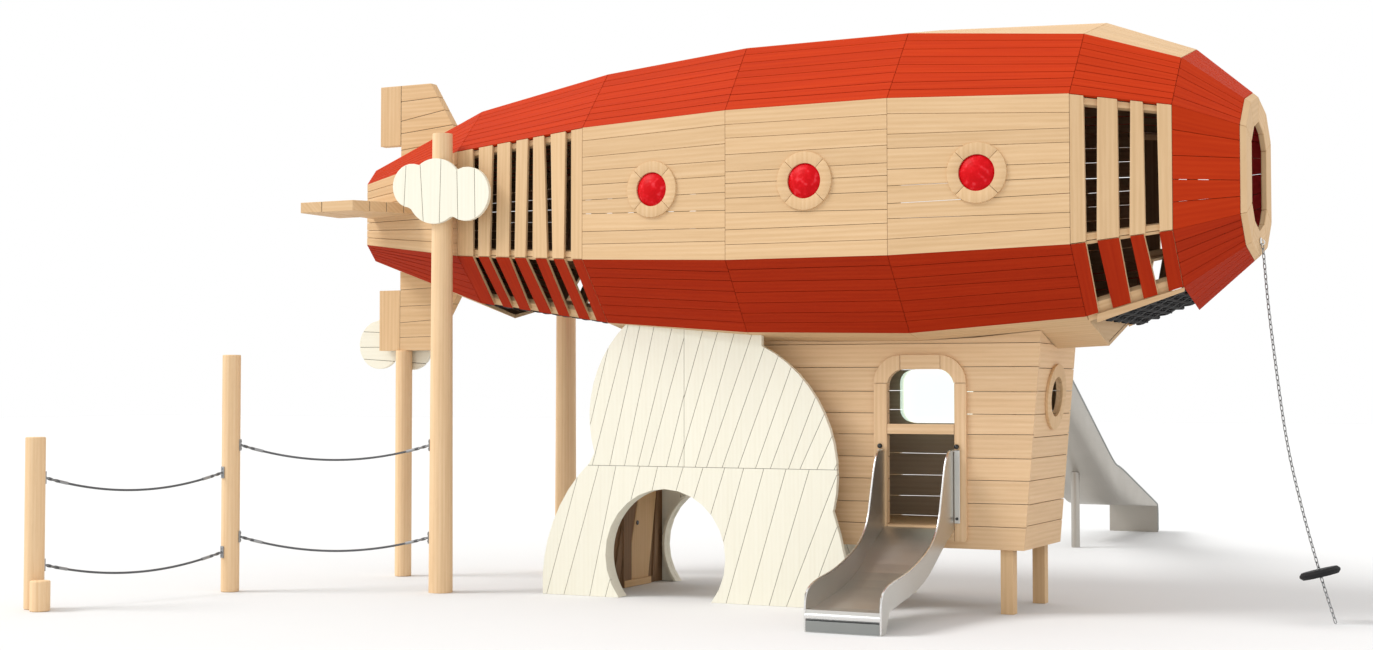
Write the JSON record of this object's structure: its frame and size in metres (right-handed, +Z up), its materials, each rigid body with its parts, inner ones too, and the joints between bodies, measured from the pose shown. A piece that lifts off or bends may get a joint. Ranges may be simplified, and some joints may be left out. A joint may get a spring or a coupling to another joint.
{
  "type": "playground airship on posts",
  "caption": "Timber play structure shaped like an airship on posts: slatted hull, cabin below, cloud walls, tail fins, steel slides, rope course and mooring chain.",
  "frame": {"origin": "centre of the foot of the post under the bottom tail fin, on the ground, on the hull's centre plane", "axes": "+X along the hull towards its nose, +Y to the side of the long slide, +Z up"},
  "size_m": [8.9743, 11.837, 4.426],
  "materials": {
    "pale_wood": "matte",
    "inner_wood": "matte",
    "red_wood": "matte stain",
    "cream_wood": "matte paint",
    "red_dome": "gloss",
    "slide_steel": "satin",
    "chain_steel": "satin",
    "grey_rope": "braided",
    "black_rubber": "matte"
  },
  "bodies": {
    "root": {"side_near_tail": "pale_wood", "side_near_rear": "pale_wood", "side_near_mid": "pale_wood", "side_near_fore": "pale_wood", "side_near_front": "pale_wood", "side_far_tail": "pale_wood", "side_far_mid": "pale_wood", "side_far_front": "pale_wood", "upper_near": "red_wood", "upper_far": "red_wood", "roof": "pale_wood", "lower_near": "red_wood", "lower_far": "red_wood", "keel_tail": "pale_wood", "keel_mid": "pale_wood", "tail_cap": "pale_wood", "nose_shell": "red_wood", "nose_ring": "pale_wood", "porthole_near_rear": "red_dome", "porthole_near_mid": "red_dome", "porthole_near_fore": "red_dome", "porthole_far_rear": "red_dome", "porthole_far_fore": "red_dome", "deck": "inner_wood", "belly_net_rear": "black_rubber", "belly_net_front": "black_rubber", "fin_top": "pale_wood", "fin_near": "pale_wood", "fin_bottom": "pale_wood", "fin_far": "pale_wood", "tail_post_near": "pale_wood", "tail_post_far": "pale_wood", "fin_post": "pale_wood", "rope_post_inner": "pale_wood", "rope_post_outer": "pale_wood", "rope_stub": "pale_wood", "cloud_near": "cream_wood", "cloud_low": "cream_wood", "cloud_wall_near": "cream_wood", "cloud_wall_far": "cream_wood", "partition": "inner_wood", "cabin_wall_near": "pale_wood", "cabin_wall_far": "pale_wood", "cabin_wall_front": "pale_wood", "cabin_wall_rear": "pale_wood", "cabin_base": "pale_wood", "door_frame": "pale_wood", "front_window_ring": "pale_wood", "slide_near": "slide_steel", "slide_far": "slide_steel", "slide_far_leg": "slide_steel", "handle_left": "slide_steel", "handle_right": "slide_steel", "rope_outer_top": "grey_rope", "rope_outer_low": "grey_rope", "rope_inner_top": "grey_rope", "rope_inner_low": "grey_rope", "mooring_chain": "chain_steel", "chain_disc": "black_rubber"}
  },
  "joints": []
}
